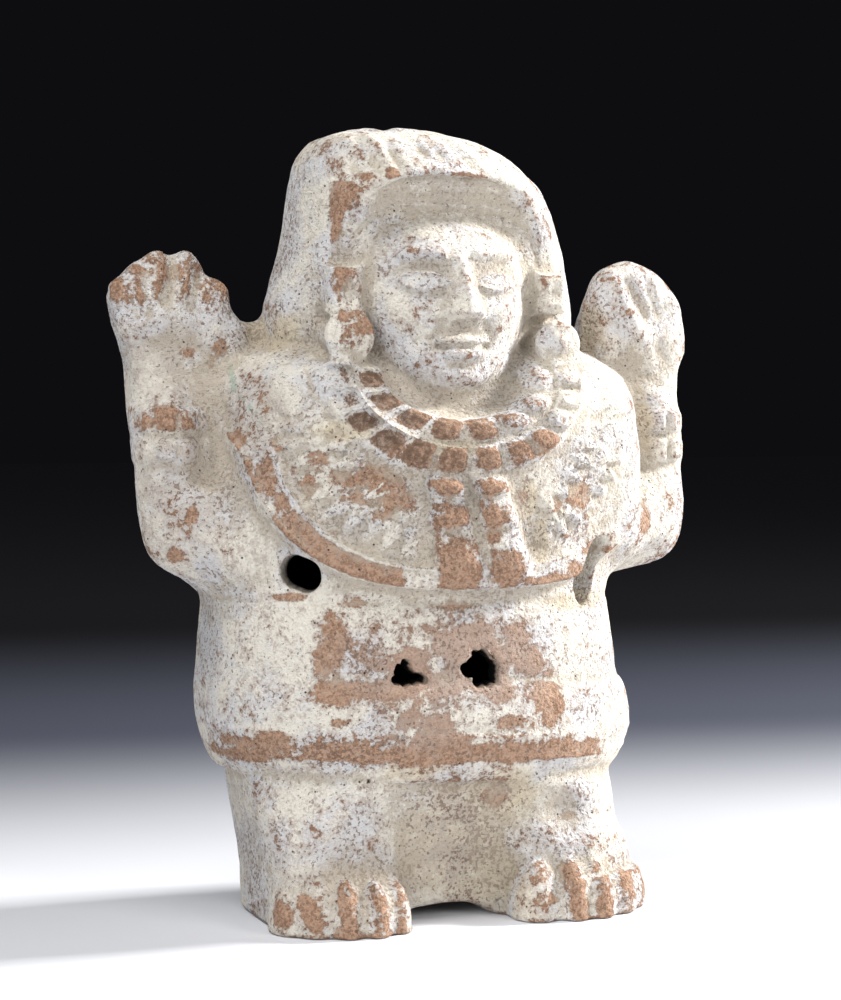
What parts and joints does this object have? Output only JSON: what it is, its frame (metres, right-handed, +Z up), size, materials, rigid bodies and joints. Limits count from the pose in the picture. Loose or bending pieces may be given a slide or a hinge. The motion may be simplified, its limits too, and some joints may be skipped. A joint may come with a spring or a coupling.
{
  "type": "hollow clay rattle figurine",
  "caption": "Hollow mould-made clay figure standing with both hands raised, in a tall hood, bead collar, tassels, mantle and short skirt, pierced by four holes.",
  "frame": {"origin": "on the floor plane of the soles, under the middle of the figure's bounding box", "axes": "+Z up from the soles to the crown, the figure faces -Y, +X to the viewer's right when facing it"},
  "size_m": [0.1438, 0.062, 0.1796],
  "materials": {
    "fired_clay": "matte fired clay with worn white slip"
  },
  "bodies": {
    "root": {"figurine": "fired_clay"}
  },
  "joints": []
}
